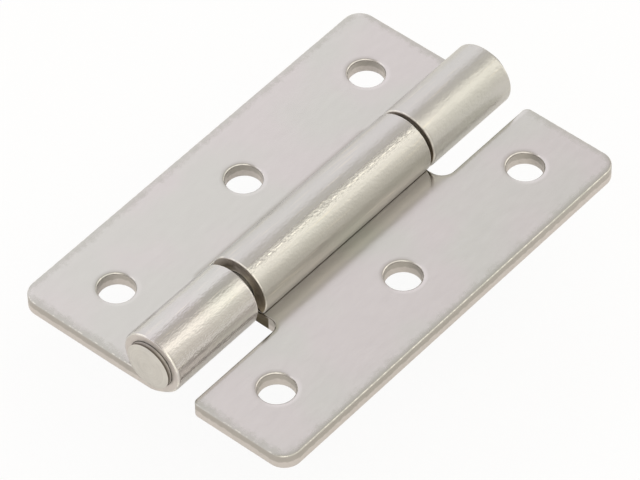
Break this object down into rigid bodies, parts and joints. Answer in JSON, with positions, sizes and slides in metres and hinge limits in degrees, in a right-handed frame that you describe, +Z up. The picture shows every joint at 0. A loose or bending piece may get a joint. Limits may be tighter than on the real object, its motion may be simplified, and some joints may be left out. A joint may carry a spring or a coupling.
{
  "type": "butt hinge",
  "caption": "Small pressed-steel butt hinge: two flat screw-on leaves with rolled knuckles that turn about a riveted pin.",
  "frame": {"origin": "on the plane of the leaves' flat backs, under the middle of the pin", "axes": "+X from the fixed leaf to the moving leaf, +Y along the pin, +Z up, away from the mounting surface"},
  "size_m": [0.04, 0.0608, 0.0083],
  "materials": {
    "leaf_steel": "tumbled satin stainless sheet, with sheared edges",
    "pin_steel": "drawn stainless wire, riveted at both ends"
  },
  "bodies": {
    "fixed_leaf": {"fixed_leaf": "leaf_steel", "hinge_pin": "pin_steel"},
    "moving_leaf": {"moving_leaf": "leaf_steel"}
  },
  "joints": [
    {"name": "leaf_hinge", "type": "hinge", "parent": "fixed_leaf", "child": "moving_leaf", "pos_m": [0, 0, 0.00415], "axis": [0, -1, 0], "range_deg": [-105, 190]}
  ]
}
